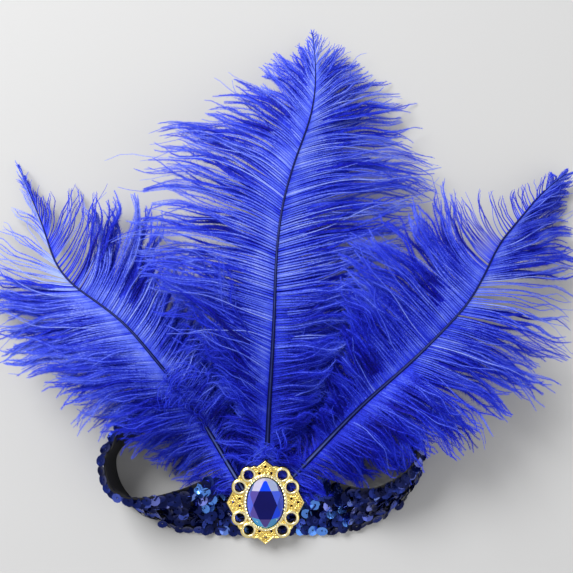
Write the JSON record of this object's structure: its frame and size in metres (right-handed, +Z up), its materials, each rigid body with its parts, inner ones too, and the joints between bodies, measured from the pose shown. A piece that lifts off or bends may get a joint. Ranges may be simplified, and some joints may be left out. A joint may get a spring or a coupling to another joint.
{
  "type": "feather showgirl headdress",
  "caption": "Ostrich plume headdress on a sequinned elastic head loop with a pierced gold-coloured brooch holding a faceted blue oval stone",
  "frame": {"origin": "middle of the bottom of the bounding box, on the surface the headdress lies on", "axes": "+Z up, +Y from the brooch along the middle plume, +X to the right as seen from above with the brooch at the near side"},
  "size_m": [0.3134, 0.2728, 0.0522],
  "materials": {
    "black_elastic": "matte knitted elastic, black to very dark navy",
    "navy_sequin": "glossy navy cup sequins, overlapping",
    "gold": "bright gold plating, granulated and cast",
    "blue_stone": "polished, faceted, transparent-looking royal blue",
    "blue_feather": "dyed ostrich feather, soft and matte, royal blue"
  },
  "bodies": {
    "root": {"elastic_band": "black_elastic", "sequin_trim": "navy_sequin", "brooch_setting": "gold", "stone": "blue_stone", "plume_left": "blue_feather", "plume_centre": "blue_feather", "plume_right": "blue_feather"}
  },
  "joints": []
}
